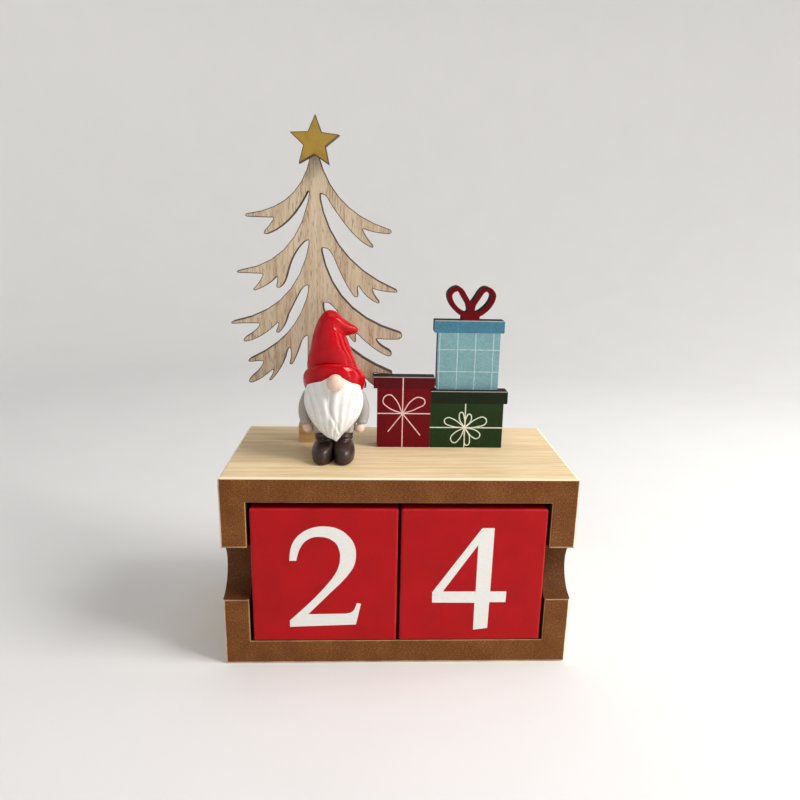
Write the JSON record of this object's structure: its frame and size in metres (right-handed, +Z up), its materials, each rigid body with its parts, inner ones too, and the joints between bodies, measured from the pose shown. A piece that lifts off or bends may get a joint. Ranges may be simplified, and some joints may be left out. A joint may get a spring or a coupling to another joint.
{
  "type": "block advent calendar",
  "caption": "Open wooden case with loose number cubes that slide out at the front, and a fretted tree, a gnome and stacked gift panels pinned on its lid.",
  "frame": {"origin": "centre of the case's underside, the face that it stands on", "axes": "+Z up to the star, -Y out of the open front that the cubes leave by, +X to the viewer's right"},
  "size_m": [0.1224, 0.0596, 0.1872],
  "materials": {
    "board_wood": "satin clear coat on brown fibreboard",
    "top_veneer": "satin pale veneer",
    "cube_paint": "matt red paint",
    "tree_ply": "raw plywood with laser-cut edges",
    "star_gold": "matt gold paint",
    "red_panel": "printed face, dark edges",
    "green_panel": "printed face, dark edges",
    "blue_panel": "printed face, dark edges",
    "bow_paint": "satin dark red paint",
    "pin_steel": "bright drawn wire",
    "hat_gloss": "gloss red paint on cast resin",
    "skin_gloss": "satin skin-tone paint on cast resin",
    "beard_gloss": "gloss white paint on cast resin",
    "coat_gloss": "satin grey paint on cast resin",
    "boot_gloss": "gloss brown paint on cast resin"
  },
  "bodies": {
    "case": {"top_board": "top_veneer", "bottom_board": "board_wood", "left_board": "board_wood", "right_board": "board_wood", "back_board": "board_wood", "corner_brads": "pin_steel", "tree_panel": "tree_ply", "tree_star": "star_gold", "tree_foot": "board_wood", "red_gift": "red_panel", "green_gift": "green_panel", "blue_gift": "blue_panel", "gift_bow": "bow_paint", "fixing_pins": "pin_steel", "gnome_hat": "hat_gloss", "gnome_nose": "skin_gloss", "gnome_beard": "beard_gloss", "gnome_coat": "coat_gloss", "gnome_left_sleeve": "coat_gloss", "gnome_right_sleeve": "coat_gloss", "gnome_left_hand": "skin_gloss", "gnome_right_hand": "skin_gloss", "gnome_left_boot": "boot_gloss", "gnome_right_boot": "boot_gloss"},
    "left_cube": {"left_cube": "cube_paint"},
    "right_cube": {"right_cube": "cube_paint"}
  },
  "joints": [
    {"name": "left_cube_slide", "type": "slide", "parent": "case", "child": "left_cube", "axis": [0, -1, 0], "range_m": [0, 0.06]},
    {"name": "right_cube_slide", "type": "slide", "parent": "case", "child": "right_cube", "axis": [0, -1, 0], "range_m": [0, 0.06]}
  ]
}
